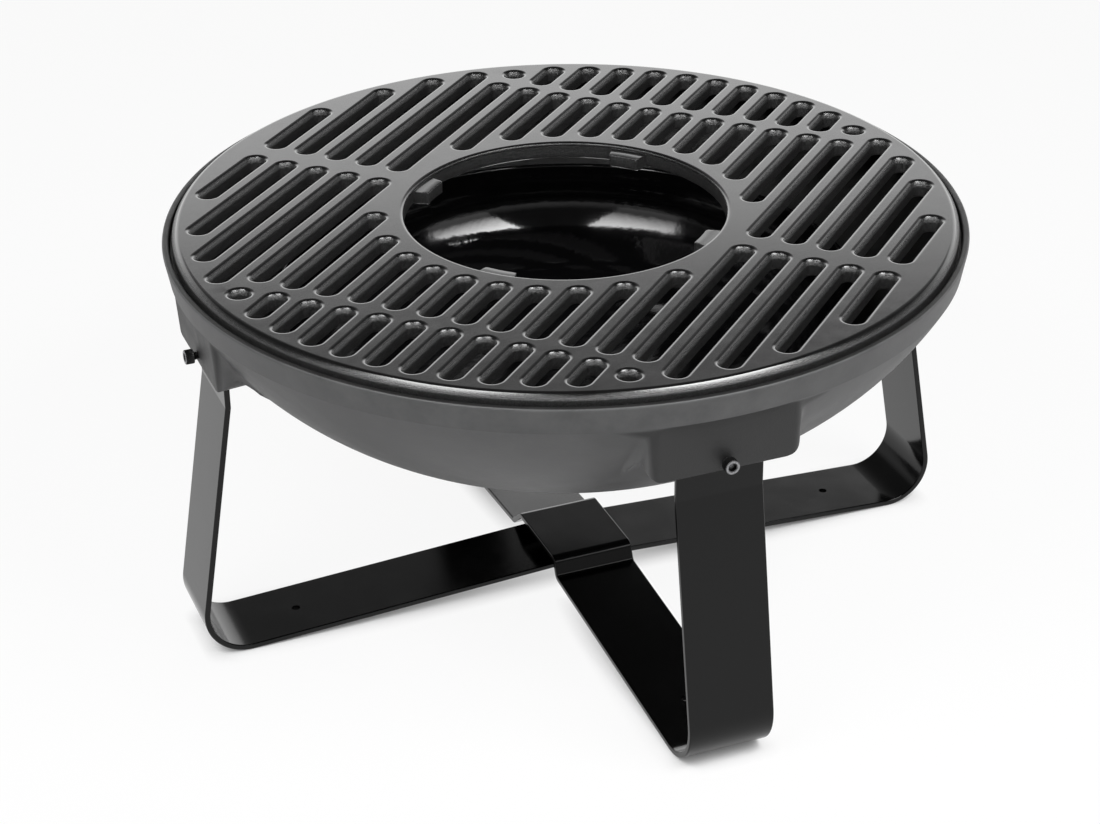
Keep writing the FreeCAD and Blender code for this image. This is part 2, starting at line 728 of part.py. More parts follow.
LEG_DIRECTIONS = {"right": (1, 0), "back": (0, 1), "left": (-1, 0), "front": (0, -1)}

pieces = [build_bowl(), build_pan(), build_grate(), build_lower_strap(), build_upper_strap()]
pieces += [build_screw(name, direction) for name, direction in LEG_DIRECTIONS.items()]
doc.recompute()

failed = [thing.Label for thing in doc.Objects if {"Invalid", "Error"} & set(thing.State)]
if failed:
    raise RuntimeError(f"not built: {failed}")
for piece in pieces:
    if piece.Shape.isNull() or not piece.Shape.isValid() or len(piece.Shape.Solids) != 1:
        raise RuntimeError(f"{piece.Label} is not one sound solid")

os.makedirs("parts", exist_ok=True)
for piece in pieces:
    piece.Shape.exportStep(f"parts/{piece.Label}.step")
    print(f"{piece.Label}: {piece.Shape.Volume / 1000:.1f} cm3")
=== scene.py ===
import bpy
import numpy as np
from mathutils import Matrix
from mathutils.geometry import delaunay_2d_cdt


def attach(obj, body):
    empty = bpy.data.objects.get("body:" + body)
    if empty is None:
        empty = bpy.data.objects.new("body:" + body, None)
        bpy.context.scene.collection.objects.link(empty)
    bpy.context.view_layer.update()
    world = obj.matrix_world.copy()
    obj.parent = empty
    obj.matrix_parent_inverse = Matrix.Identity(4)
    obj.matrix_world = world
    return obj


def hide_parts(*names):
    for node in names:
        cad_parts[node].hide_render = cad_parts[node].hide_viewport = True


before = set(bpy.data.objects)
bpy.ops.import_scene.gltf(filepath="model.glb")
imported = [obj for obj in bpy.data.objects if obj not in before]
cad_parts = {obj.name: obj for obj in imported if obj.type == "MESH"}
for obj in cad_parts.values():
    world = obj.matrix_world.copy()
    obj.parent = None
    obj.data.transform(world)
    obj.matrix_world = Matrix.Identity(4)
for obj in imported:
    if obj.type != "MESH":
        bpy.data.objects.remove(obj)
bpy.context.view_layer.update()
print("frame loaded with", len(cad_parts), "nodes")

mm = 0.001  # shapes are worked out in millimetres, meshes are in metres
quadrants = np.array([(1, 1), (-1, 1), (-1, -1), (1, -1)])


# shared mesh helpers

def gridFaces(rows, columns):
    # quads of a grid numbered row by row, whose last column joins its first
    row, column = np.meshgrid(np.arange(rows - 1), np.arange(columns), indexing="ij")
    beside = (column + 1) % columns
    here, below = row * columns, (row + 1) * columns
    quads = [here + column, below + column, below + beside, here + beside]
    return np.stack(quads, axis=-1).reshape(-1, 4)


def fanFaces(pole, ring):
    # triangles from one point to a closed ring of points, seen to run left about the pole
    return np.stack([np.full(len(ring), pole), ring, np.roll(ring, -1)], axis=-1)


def turned(vector, angles):
    # one plane vector turned by each of the angles
    cosine, sine = np.cos(angles), np.sin(angles)
    x, y = vector
    return np.stack([x * cosine - y * sine, x * sine + y * cosine], axis=-1)


def turnMatrix(angle):
    # turns rows of points about Z when they are multiplied by it
    cosine, sine = np.cos(angle), np.sin(angle)
    return np.array([[cosine, sine, 0], [-sine, cosine, 0], [0, 0, 1]])


def roundedLine(corners):
    # Straight runs with an arc at each inner corner, given as (across, up, radius, steps). The arc
    # starts radius * tan(half the turn) before the corner, and its spokes are the run's left normal,
    # turned evenly. Gives the points and the normals on the left of the way.
    places = np.array([corner[:2] for corner in corners], float)
    heading = np.diff(places, axis=0)
    heading /= np.linalg.norm(heading, axis=1)[:, None]
    left = np.stack([-heading[:, 1], heading[:, 0]], axis=1)
    points = [places[:1]]
    normals = [left[:1]]
    for index in range(1, len(corners) - 1):
        radius, steps = corners[index][2:]
        before, after = heading[index - 1], heading[index]
        turn = np.arctan2(before[0] * after[1] - before[1] * after[0], before @ after)
        start = places[index] - before * radius * np.tan(abs(turn) / 2)
        spokes = turned(left[index - 1], np.linspace(0, turn, steps + 1))
        points.append(start + (left[index - 1] - spokes) * radius * np.sign(turn))
        normals.append(spokes)
    return np.concatenate(points + [places[-1:]]), np.concatenate(normals + [left[-1:]])


def turnedSurface(radius, level, angle):
    # closed skin of rows by angle, from the pole inside round the rim to the pole underneath
    points = np.stack([radius * np.cos(angle), radius * np.sin(angle), level], axis=-1).reshape(-1, 3)
    count, columns = radius.shape
    poles = np.array([[0, 0, level[0, 0]], [0, 0, level[-1, 0]]])
    ring = np.arange(columns)
    faces = [gridFaces(count, columns), fanFaces(count * columns, ring),
             fanFaces(count * columns + 1, (count - 1) * columns + ring)[:, ::-1]]
    return np.concatenate([points, poles]), faces


def raised(plan, level):
    # plan points or directions with their third coordinate
    return np.concatenate([plan, np.broadcast_to(level, plan.shape[:-1] + (1,))], axis=-1)


def softMin(first, second, width):
    # the smaller of two, rounded over where they are within about this width
    return (first + second - np.sqrt((first - second) ** 2 + width ** 2)) / 2


def newObject(name, points, faces):
    mesh = bpy.data.meshes.new(name)
    mesh.from_pydata((points * mm).tolist(), [], [face for group in faces for face in group.tolist()])
    mesh.polygons.foreach_set("use_smooth", np.ones(len(mesh.polygons), bool))
    piece = bpy.data.objects.new(name, mesh)
    bpy.context.scene.collection.objects.link(piece)
    return piece


def cutAway(piece, cutter):
    # takes the cutter's closed solids out of the piece, and the cutter out of the scene
    step = piece.modifiers.new("cut", "BOOLEAN")
    step.operation = "DIFFERENCE"
    step.solver = "EXACT"
    step.object = cutter
    shaped = piece.evaluated_get(bpy.context.evaluated_depsgraph_get())
    result = bpy.data.meshes.new_from_object(shaped)
    piece.modifiers.remove(step)
    piece.data = result
    bpy.data.objects.remove(cutter)


def tubes(name, starts, ends, radius, steps=32):
    # round bars between pairs of points: a ring of radius about each end, in the plane across the bar
    along = ends - starts
    along = along / np.linalg.norm(along, axis=1)[:, None]
    aside = np.where(np.abs(along[:, 2:]) > 0.5, [[1.0, 0, 0]], [[0, 0, 1.0]])
    across = np.cross(along, aside)
    across /= np.linalg.norm(across, axis=1)[:, None]
    third = np.cross(along, across)
    angle = np.linspace(0, 2 * np.pi, steps, endpoint=False)
    cosine, sine = np.cos(angle)[:, None], np.sin(angle)[:, None]
    ring = radius * (cosine * across[:, None] + sine * third[:, None])
    points = np.stack([starts[:, None] + ring, ends[:, None] + ring], axis=1).reshape(-1, 3)
    first = np.arange(len(starts))[:, None] * 2 * steps
    sides = (gridFaces(2, steps)[None, :, ::-1] + first[:, None]).reshape(-1, 4)
    loop = np.arange(steps)
    caps = [loop[None, ::-1] + first, loop[None] + steps + first]
    return newObject(name, points, [sides] + caps)


def place(piece, body, slot, node, *materials):
    for material in materials:
        piece.data.materials.append(material)
    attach(piece, body)
    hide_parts(node)


# materials

def addNode(tree, kind, settings=None, **values):
    node = tree.nodes.new(kind)
    for name, value in (settings or {}).items():
        setattr(node, name, value)
    for name, value in values.items():
        socket = node.inputs[name.replace("_", " ")]
        if isinstance(value, bpy.types.NodeSocket):
            tree.links.new(value, socket)
        else:
            socket.default_value = value
    return node


def surfaceNoise(tree, scale, detail, roughness, stretch=None):
    # noise on the piece's own coordinates, in patches of about 1 / scale metres
    spot = addNode(tree, "ShaderNodeTexCoord").outputs["Object"]
    if stretch:
        turnedSpot = addNode(tree, "ShaderNodeMapping", Vector=spot, Rotation=(0, 0, stretch["turn"]))
        turnedSpot.inputs["Scale"].default_value = stretch["scale"]
        spot = turnedSpot.outputs["Vector"]
    noise = addNode(tree, "ShaderNodeTexNoise", Vector=spot, Scale=scale, Detail=detail, Roughness=roughness)
    return noise.outputs["Fac"]


def combined(tree, operation, first, second):
    # one sum, product or maximum of two node values
    node = addNode(tree, "ShaderNodeMath", {"operation": operation})
    tree.links.new(first, node.inputs[0])
    tree.links.new(second, node.inputs[1])
    return node.outputs[0]


def spread(tree, value, low, high, start=0.3, end=0.7):
    # maps a value from start..end to low..high
    settings = {"From Min": start, "From Max": end, "To Min": low, "To Max": high}
    node = addNode(tree, "ShaderNodeMapRange", Value=value)
    for name, number in settings.items():
        node.inputs[name].default_value = number
    return node.outputs["Result"]


def mixedColour(tree, factor, low, high):
    node = addNode(tree, "ShaderNodeMix", {"data_type": "RGBA"})
    tree.links.new(factor, node.inputs["Factor"])
    node.inputs["A"].default_value = (*low, 1)
    node.inputs["B"].default_value = (*high, 1)
    return node.outputs["Result"]


def bumped(tree, height, distance, strength, below=None):
    node = addNode(tree, "ShaderNodeBump", Height=height, Distance=distance, Strength=strength)
    if below is not None:
        tree.links.new(below, node.inputs["Normal"])
    return node.outputs["Normal"]


def newMaterial(name, finish):
    material = bpy.data.materials.new(name)
    material.use_nodes = True
    shader = material.node_tree.nodes["Principled BSDF"]
    shader.inputs["Specular IOR Level"].default_value = finish["specular"]
    return material, material.node_tree, shader


bowlFinish = {
    "specular": 0.5, "dark": (0.054, 0.054, 0.055), "light": (0.086, 0.086, 0.087),
    "roughness": (0.46, 0.60), "patchScale": 55.0, "grainScale": 800.0, "grainHeight": 0.00022,
    "waveScale": 45.0, "waveHeight": 0.0009,
    # painted shade on the lugs' flat faces: how dark, and how far out and how high it reaches
    "padShade": 0.2, "padReach": (0.262, 0.2648), "padLevel": (0.2545, 0.2565),
}
bowlInsideFinish = {"dark": (0.008, 0.008, 0.008), "light": (0.014, 0.014, 0.014)}


def padShadeMask(tree, finish):
    # 1 on the flat faces of the lugs, where painted shade goes: below the band's overhang and far out along
    # X or Y
    spot = addNode(tree, "ShaderNodeTexCoord").outputs["Object"]
    parts = addNode(tree, "ShaderNodeSeparateXYZ", Vector=spot).outputs
    reach = []
    for axis in ("X", "Y"):
        size = addNode(tree, "ShaderNodeMath", {"operation": "ABSOLUTE"})
        tree.links.new(parts[axis], size.inputs[0])
        reach.append(size.outputs[0])
    farOut = spread(tree, combined(tree, "MAXIMUM", *reach), 0, 1, *finish["padReach"])
    lowDown = spread(tree, parts["Z"], 1, 0, *finish["padLevel"])
    return combined(tree, "MULTIPLY", farOut, lowDown)


def castIron(name, finish):
    # sand-cast iron under satin paint: cloudy patches, fine grain and a slight wave of the mould
    material, tree, shader = newMaterial(name, finish)
    patches = surfaceNoise(tree, finish["patchScale"], detail=6.0, roughness=0.6)
    grain = surfaceNoise(tree, finish["grainScale"], detail=3.0, roughness=0.6)
    wave = surfaceNoise(tree, finish["waveScale"], detail=2.0, roughness=0.4)
    colour = mixedColour(tree, spread(tree, patches, 0, 1), finish["dark"], finish["light"])
    # the lugs' flat faces are darkened: painted shade standing in for the shadow under the band's overhang
    padPaintedShade = spread(tree, padShadeMask(tree, finish), 1, finish["padShade"], 0, 1)
    shade = addNode(tree, "ShaderNodeHueSaturation", Value=padPaintedShade, Color=colour)
    tree.links.new(shade.outputs["Color"], shader.inputs["Base Color"])
    tree.links.new(spread(tree, patches, *finish["roughness"]), shader.inputs["Roughness"])
    slow = bumped(tree, wave, finish["waveHeight"], strength=0.35)
    fine = bumped(tree, grain, finish["grainHeight"], strength=0.5, below=slow)
    tree.links.new(fine, shader.inputs["Normal"])
    return material


enamelFinish = {
    "specular": 0.6, "colour": (0.003, 0.003, 0.0033, 1), "roughness": (0.05, 0.12),
    "peelScale": 130.0, "peelHeight": 0.0003, "cloudScale": 30.0,
}


def glossEnamel(name, finish):
    # gloss black enamel with the orange peel of a fired coat
    material, tree, shader = newMaterial(name, finish)
    shader.inputs["Base Color"].default_value = finish["colour"]
    clouds = surfaceNoise(tree, finish["cloudScale"], detail=5.0, roughness=0.6)
    peel = surfaceNoise(tree, finish["peelScale"], detail=3.0, roughness=0.5)
    tree.links.new(spread(tree, clouds, *finish["roughness"]), shader.inputs["Roughness"])
    tree.links.new(bumped(tree, peel, finish["peelHeight"], strength=0.3), shader.inputs["Normal"])
    return material


grateFinish = {
    "specular": 0.8, "dark": (0.003, 0.003, 0.003), "light": (0.006, 0.006, 0.006),
    "roughness": (0.09, 0.14),
    "wallDark": (0.003, 0.003, 0.003), "wallLight": (0.035, 0.035, 0.035), "wallRoughness": 0.38,
    "wallSlope": (0.5, 0.75), "sandPatches": (0.42, 0.62), "patchScale": 70.0, "grainScale": 1000.0,
    "grainHeight": 0.00002, "wallScale": 1100.0, "wallHeight": 0.0005,
    "brush": {"turn": 0.35, "scale": (90.0, 1100.0, 300.0)}, "brushHeight": 0.000012,
}


def grateIron(name, finish):
    # enamelled cast iron: the top is ground and lightly brushed, the walls keep the grain of the sand
    material, tree, shader = newMaterial(name, finish)
    patches = surfaceNoise(tree, finish["patchScale"], detail=6.0, roughness=0.65)
    grain = surfaceNoise(tree, finish["grainScale"], detail=3.0, roughness=0.6)
    brush = surfaceNoise(tree, 1.0, detail=3.0, roughness=0.6, stretch=finish["brush"])
    sand = surfaceNoise(tree, finish["wallScale"], detail=4.0, roughness=0.65)
    facing = addNode(tree, "ShaderNodeNewGeometry").outputs["Normal"]
    upright = addNode(tree, "ShaderNodeSeparateXYZ", Vector=facing).outputs["Z"]
    wall = spread(tree, upright, 1.0, 0.0, *finish["wallSlope"])
    ground = mixedColour(tree, spread(tree, patches, 0, 1), finish["dark"], finish["light"])
    sandPatches = spread(tree, sand, 0, 1, *finish["sandPatches"])
    rough = mixedColour(tree, sandPatches, finish["wallDark"], finish["wallLight"])
    colour = addNode(tree, "ShaderNodeMix", {"data_type": "RGBA"})
    tree.links.new(wall, colour.inputs["Factor"])
    tree.links.new(ground, colour.inputs["A"])
    tree.links.new(rough, colour.inputs["B"])
    tree.links.new(colour.outputs["Result"], shader.inputs["Base Color"])
    polish = spread(tree, patches, *finish["roughness"])
    sheen = addNode(tree, "ShaderNodeMix", {"data_type": "FLOAT"}, Factor=wall, A=polish,
                    B=finish["wallRoughness"])
    tree.links.new(sheen.outputs["Result"], shader.inputs["Roughness"])
    smooth = bumped(tree, brush, finish["brushHeight"], strength=0.5)
    fine = bumped(tree, grain, finish["grainHeight"], strength=0.5, below=smooth)
    sandy = bumped(tree, sand, finish["wallHeight"], strength=wall, below=fine)
    tree.links.new(sandy, shader.inputs["Normal"])
    return material


strapFinish = {
    "specular": 0.28, "colour": (0.0006, 0.0006, 0.0006, 1), "roughness": (0.10, 0.16),
    "cloudScale": 35.0, "peelScale": 1300.0, "peelHeight": 0.00005,
}


def powderCoat(name, finish):
    # satin black powder coat: fine peel, and a sheen that changes a little along the bar
    material, tree, shader = newMaterial(name, finish)
    shader.inputs["Base Color"].default_value = finish["colour"]
    clouds = surfaceNoise(tree, finish["cloudScale"], detail=4.0, roughness=0.6)
    peel = surfaceNoise(tree, finish["peelScale"], detail=2.0, roughness=0.5)
    tree.links.new(spread(tree, clouds, *finish["roughness"]), shader.inputs["Roughness"])
    tree.links.new(bumped(tree, peel, finish["peelHeight"], strength=0.4), shader.inputs["Normal"])
    return material


screwFinish = {
    "specular": 0.3, "black": (0.004, 0.004, 0.004), "wornAndGlint": (0.34, 0.34, 0.35),
    "roughness": (0.30, 0.45), "scratchScale": 900.0, "ragged": (0.45, 1.0, 0.35, 0.55),
}


def blackSteel(name, finish):
    # blackened steel, bright and metallic where the attribute read below is high: real wear round the head's
    # crown, and a painted highlight at the bottom of the socket
    material, tree, shader = newMaterial(name, finish)
    wearAndGlint = addNode(tree, "ShaderNodeAttribute", {"attribute_name": "wearAndGlint"}).outputs["Fac"]
    scratches = surfaceNoise(tree, finish["scratchScale"], detail=4.0, roughness=0.6)
    rubbedAndGlint = combined(tree, "MULTIPLY", wearAndGlint, spread(tree, scratches, *finish["ragged"]))
    colour = mixedColour(tree, rubbedAndGlint, finish["black"], finish["wornAndGlint"])
    tree.links.new(colour, shader.inputs["Base Color"])
    tree.links.new(rubbedAndGlint, shader.inputs["Metallic"])
    tree.links.new(spread(tree, scratches, *finish["roughness"]), shader.inputs["Roughness"])
    return material


bowlOutside = castIron("bowl satin iron", bowlFinish)
bowlInside = castIron("bowl dark iron", {**bowlFinish, **bowlInsideFinish})
panEnamel = glossEnamel("pan gloss enamel", enamelFinish)
grateSurface = grateIron("grate enamelled iron", grateFinish)
strapSurface = powderCoat("strap powder coat", strapFinish)
screwSurface = blackSteel("screw black steel", screwFinish)
print("materials made")


# bowl

bowl = {
    "rimTop": 275.6, "rimRadius": 276.8, "rimInside": 271.8, "rimRound": 1.7,
    "seatLevel": 270.0, "seatRadius": 262.3, "seatWall": 2.0, "bandFoot": 257.0,
    "bandEnd": (273.56, 257.5), "bandRows": 8, "insideRows": 34,
    "domeCentre": (50.0, 378.28), "domeRadius": 254.28, "wall": 5.5,
    "seatRound": 1.2, "rimDarkRows": 20, "baseRows": 5, "lugCount": 4, "lugFace": 265.2, "lugDraft": 0.07,
    "lugHalf": 53.0, "lugTop": 255.0, "lugFoot": 215.0, "lugEdge": 8.0, "lugCorner": 12.0,
    "cornerShare": 0.9, "flare": 9.0, "flareRise": 0.5, "flareStart": 11.9, "flareTurn": 1.2,
    "flareEnd": 15.4, "faceSteps": 16, "flareSteps": 41, "domeSteps": 27,
    "cutMargin": 3.0, "cutSlope": 1.1, "cutRound": 0.4, "hollowRows": 10, "hollowFall": 1.6,
    "hollowGrowth": 2.4, "lugRows": 26, "footRound": 1.3, "footFade": 0.8, "footLimit": 0.25, "domeRows": 32,
    "sharpAngle": 50.0,
    # rows round the lug's foot: level above the foot, least inset, share of the way back to the dome
    "footRows": ((0.6, 0.12, 0), (0.2, 0.45, 0), (0.0, 1.1, 0), (-0.15, 0, 0.3), (-0.3, 0, 0.6),
                 (-0.5, 0, 0.86), (-1.1, 0, 0.96), (-2.2, 0, 1.0)),
    "slot": {"inside": 252.4, "outside": 257.0, "half": 31.0, "bottom": 207.0, "top": 229.0},
    "screwHole": {"level": 221.5, "radius": 3.3, "from": 250.0, "to": 275.0},
}


def lugAngles():
    # half of a lug's columns: even steps over its face, close ones over its side and flare, then even
    face, half, edge = bowl["lugFace"], bowl["lugHalf"], bowl["lugEdge"]
    faceEnd = np.arctan2(half - edge, face)
    flareEnd = np.radians(bowl["flareEnd"])
    onFace = np.arctan2(np.linspace(0, half - edge, bowl["faceSteps"]), face)
    onFlare = np.linspace(faceEnd, flareEnd, bowl["flareSteps"])[1:]
    onDome = np.linspace(flareEnd, np.pi / bowl["lugCount"], bowl["domeSteps"])[1:]
    return np.concatenate([onFace, onFlare, onDome])


def lugFaceAt(level):
    # the face leans out towards the band, by the draft of the casting
    return bowl["lugFace"] + bowl["lugDraft"] * (level - bowl["lugFoot"])


def lugReach(angle, face):
    # plan radius of a lug's block by angle: its flat face, its rounded upright edge, its side
    half, edge = bowl["lugHalf"], bowl["lugEdge"]
    along = (face - edge) * np.cos(angle) + (half - edge) * np.sin(angle)
    corner = np.clip(along ** 2 - (face - edge) ** 2 - (half - edge) ** 2 + edge ** 2, 0, None)
    side = half / np.maximum(np.sin(angle), 0.01)
    rounded = np.where(angle < np.arctan2(half, face - edge), along + np.sqrt(corner), side)
    return np.where(angle < np.arctan2(half - edge, face), face / np.cos(angle), rounded)


def domeReach(level):
    # radius of the dome at a level: an arc about its centre
    centre, height = bowl["domeCentre"]
    return centre + np.sqrt(bowl["domeRadius"] ** 2 - (height - level) ** 2)


def flaredReach(angle, level):
    # The dome joined to a lug's block by a hollow round. At each level the round's centre is one flare
    # radius off the dome, and one off the block's side, or off its rounded edge where the dome comes
    # that far out.
    half, edge, flare = bowl["lugHalf"], bowl["lugEdge"], bowl["flare"]
    face = lugFaceAt(level)
    dome = domeReach(level) + np.zeros_like(angle)
    reach = dome + flare
    besideX = np.sqrt(reach ** 2 - (half + flare) ** 2)
    edgeReach = np.hypot(face - edge, half - edge)
    along = (reach ** 2 - (edge + flare) ** 2 + edgeReach ** 2) / (2 * edgeReach)
    aside = np.sqrt(np.clip(reach ** 2 - along ** 2, 0, None))
    cosine, sine = (face - edge) / edgeReach, (half - edge) / edgeReach
    onEdge = besideX > face - edge
    centreX = np.where(onEdge, cosine * along - sine * aside, besideX)
    centreY = np.where(onEdge, sine * along + cosine * aside, half + flare)
    share = edge / (edge + flare)
    touchX = np.where(onEdge, (face - edge) + (centreX - face + edge) * share, besideX)
    touchY = np.where(onEdge, (half - edge) + (centreY - half + edge) * share, half)
    near = centreX * np.cos(angle) + centreY * np.sin(angle)
    hollow = near - np.sqrt(np.clip(near ** 2 - reach ** 2 + flare ** 2, 0, None))
    touch = np.arctan2(touchY, touchX)
    inHollow = (angle > touch) & (angle < np.arctan2(centreY, centreX)) & (aside > 0)
    block = np.where(angle <= touch, lugReach(angle, face), 0)
    return np.maximum(np.where(inHollow, hollow, dome), np.where(aside > 0, block, 0))


def bowlSurface():
    # A grid of upright sections by angle. Below the band each section takes the lug's outline at that
    # angle and level, joined to the dome by a hollow round and cut back to the lug's flat face.
    halfAngles = lugAngles()
    sector = np.concatenate([-halfAngles[:0:-1], halfAngles[:-1]])
    offset = np.tile(sector, bowl["lugCount"])
    angle = offset + np.repeat(np.arange(bowl["lugCount"]) * 2 * np.pi / bowl["lugCount"], len(sector))
    aside = np.abs(offset)
    corner = bowl["lugCorner"]
    sideways = lugReach(aside, bowl["lugFace"]) * np.sin(aside)
    past = np.clip(sideways - (bowl["lugHalf"] - corner), 0, corner)
    rise = (corner - np.sqrt(corner ** 2 - past ** 2)) * bowl["cornerShare"]
    behind = np.clip((np.degrees(aside) - bowl["flareStart"]) / bowl["flareTurn"], 0, 1)
    foot = bowl["lugFoot"] + rise * (1 - behind) + bowl["flareRise"] * behind
    around = np.ones_like(angle)

    def outline(level):
        face = lugFaceAt(level)
        past = np.clip(face * np.tan(aside) - bowl["lugHalf"] + bowl["cutMargin"], 0, None)
        cut = (face + bowl["cutSlope"] * past) / np.cos(aside)
        return softMin(flaredReach(aside, level), cut, bowl["cutRound"])

    # inside: flat base, dome, upright wall, seat, rim and band
    innerRadius = bowl["domeRadius"] - bowl["wall"]
    centre, height = bowl["domeCentre"]
    swing = np.linspace(0, np.arcsin((bowl["seatRadius"] - centre) / innerRadius), bowl["insideRows"])
    inside = (centre, height) + innerRadius * np.stack([np.sin(swing), -np.cos(swing)], axis=1)
    baseRings = np.linspace(0, centre, bowl["baseRows"])[1:-1]
    flat = np.stack([baseRings, np.full_like(baseRings, inside[0, 1])], axis=1)
    rim, _ = roundedLine([
        (bowl["seatRadius"], inside[-1, 1] + bowl["seatWall"], 0, 0),
        (bowl["seatRadius"], bowl["seatLevel"], bowl["seatRound"], 4),
        (bowl["rimInside"], bowl["seatLevel"], bowl["seatRound"], 4),
        (bowl["rimInside"], bowl["rimTop"], bowl["rimRound"], 6),
        (bowl["rimRadius"], bowl["rimTop"], bowl["rimRound"], 6),
        (*bowl["bandEnd"], 0, 0),
    ])
    bandRun = rim[-2] + (rim[-1] - rim[-2]) * np.linspace(0, 1, bowl["bandRows"])[1:-1, None]
    upper = np.concatenate([flat, inside, rim[:-1], bandRun, rim[-1:]])
    rows = [(r * around, z * around) for r, z in upper]

    # hollow under the band, for t from 0 to 1: the level falls as t to a power, and the depth grows as
    # 1 - (1 - t) to another
    bandLevel = bowl["bandFoot"]
    top = bowl["lugTop"]
    depth = domeReach(top) - outline(top)
    for t in np.linspace(0, 1, bowl["hollowRows"]):
        level = bandLevel + (top - bandLevel) * t ** bowl["hollowFall"]
        rows.append((domeReach(level) - depth * (1 - (1 - t) ** bowl["hollowGrowth"]), level * around))

    # lug face, or dome beside it
    lastLevel = foot + bowl["footRound"]
    for t in np.linspace(0, 1, bowl["lugRows"])[1:]:
        level = top + (lastLevel - top) * t
        rows.append((outline(level), level))

    # lug's lower edge and underside, back to the dome
    lowest = rows[-1][0]
    shelf = np.clip(lowest - domeReach(foot), 0, None)
    onLug = np.clip((lowest - domeReach(lastLevel)) / bowl["footFade"], 0, 1)
    for rise, least, share in bowl["footRows"]:
        level = foot + rise
        inset = np.maximum(np.minimum(least, bowl["footLimit"] * shelf), share * shelf)
        bare = domeReach(level)
        rows.append((bare + onLug * np.clip(lowest - inset - bare, 0, None), level))

    # dome down to the base
    domeRadius = bowl["domeRadius"]
    swingStart = np.arccos((height - rows[-1][1]) / domeRadius)
    for t in np.linspace(1, 0, bowl["domeRows"])[1:]:
        swing = swingStart * t
        rows.append((centre + domeRadius * np.sin(swing), height - domeRadius * np.cos(swing)))
    rows += [(ring * around, (height - domeRadius) * around) for ring in baseRings[::-1]]

    radius = np.array([row[0] for row in rows])
    level = np.array([row[1] for row in rows])
    darkRows = len(flat) + len(inside) + bowl["rimDarkRows"]
    return *turnedSurface(radius, level, angle), darkRows * len(angle)


def lugCutters():
    # a flat box for each leg's end and a round bar for each screw
    slot, hole = bowl["slot"], bowl["screwHole"]
    turns = np.arange(bowl["lugCount"]) * 2 * np.pi / bowl["lugCount"]
    box = np.array([(x, y, z) for z in (slot["bottom"], slot["top"]) for x, y in (
        (slot["inside"], -slot["half"]), (slot["outside"], -slot["half"]),
        (slot["outside"], slot["half"]), (slot["inside"], slot["half"]))])
    sides = np.concatenate([gridFaces(2, 4)[:, ::-1], [[3, 2, 1, 0], [4, 5, 6, 7]]])
    across = turned((1.0, 0.0), turns)
    points = np.concatenate([box @ turnMatrix(turn) for turn in turns])
    faces = np.concatenate([sides + len(box) * index for index in range(len(turns))])
    slots = newObject("slot cutter", points, [faces])
    starts, ends = (raised(across * hole[end], hole["level"]) for end in ("from", "to"))
    return slots, tubes("screw hole cutter", starts, ends, hole["radius"])


bowlPoints, bowlFaces, insideFaces = bowlSurface()
bowlPiece = newObject("bowlCasting", bowlPoints, bowlFaces)
inner = np.zeros(len(bowlPiece.data.polygons), int)
inner[:insideFaces] = 1
gridCount = len(bowlFaces[0])
inner[gridCount:gridCount + len(bowlFaces[1])] = 1
bowlPiece.data.materials.append(bowlOutside)
bowlPiece.data.materials.append(bowlInside)
bowlPiece.data.polygons.foreach_set("material_index", inner)
for cutter in lugCutters():
    cutAway(bowlPiece, cutter)
bowlPiece.data.set_sharp_from_angle(angle=np.radians(bowl["sharpAngle"]))
place(bowlPiece, "stand", "bowl_iron", "fire_bowl")
print("bowl made:", len(bowlPiece.data.polygons), "faces")


# fire pan

pan = {
    "outside": 203.5, "inside": 199.5, "underside": 152.96, "floor": 156.96, "rim": 225.8, "round": 60.0,
    "wall": 4.0, "lip": 1.9, "middle": 8.0, "columns": 256,
}


def panSurface():
    # flat floor, wide round, short upright wall with a rounded lip, and the same again outside
    line, _ = roundedLine([
        (pan["middle"], pan["floor"], 0, 0),
        (pan["inside"], pan["floor"], pan["round"], 40),
        (pan["inside"], pan["rim"], pan["lip"], 8),
        (pan["outside"], pan["rim"], pan["lip"], 8),
        (pan["outside"], pan["underside"], pan["round"] + pan["wall"], 28),
        (pan["middle"], pan["underside"], 0, 0),
    ])
    angle = np.linspace(0, 2 * np.pi, pan["columns"], endpoint=False)
    around = np.ones_like(angle)
    return turnedSurface(line[:, :1] * around, line[:, 1:] * around, angle)


panPiece = newObject("firePanShell", *panSurface())
place(panPiece, "stand", "pan_enamel", "fire_pan", panEnamel)
print("fire pan made:", len(panPiece.data.polygons), "faces")


# grate

grate = {
    "radius": 269.5, "top": 282.0, "foot": 270.0, "hole": 111.6, "under": 0.8,
    "ringRounds": ((5.0, 12, 2), (3.0, 43, 4), (16.0, 57, 4), (1.5, 90, 3)),
    "slotRounds": ((5.0, 12, 2), (2.4, 46, 4), (9.0, 64, 4), (4.0, 90, 3)),
    "holeRounds": ((5.0, 12, 2), (2.2, 60, 5), (1.2, 90, 6)), "edgeRows": 14,
    "pitch": 25.0, "slotHalf": 5.75, "columns": 10, "outerCircle": 250.5, "innerCircle": 131.1,
    "centreRib": 15.6, "secondRib": (178.0, 202.0), "secondRibReach": 150.0, "shortest": 10.0,
    "tabHalf": 12.5, "tabReach": 11.0, "tabLevel": 279.0, "tabRound": 2.0, "tabSide": 0.9, "tabCount": 4,
    # rows over a tab: level above its top, share of its reach, set back from its end
    "tabRows": ((0.45, 0, 0), (0.12, 0.05, 0), (0.0, 0.14, 0), (0.0, 0.55, 0), (0.0, 1, 1.0),
                (-0.3, 1, 0.3), (-1.0, 1, 0.0), (-5.0, 1, 0.0)),
    "backLimit": 0.3, "tabSpan": 14.5, "tabSteps": 59, "clearSteps": 40, "ringSteps": 320, "endSteps": 15,
    "wallFoot": 3.0, "turn": 43.3,
}


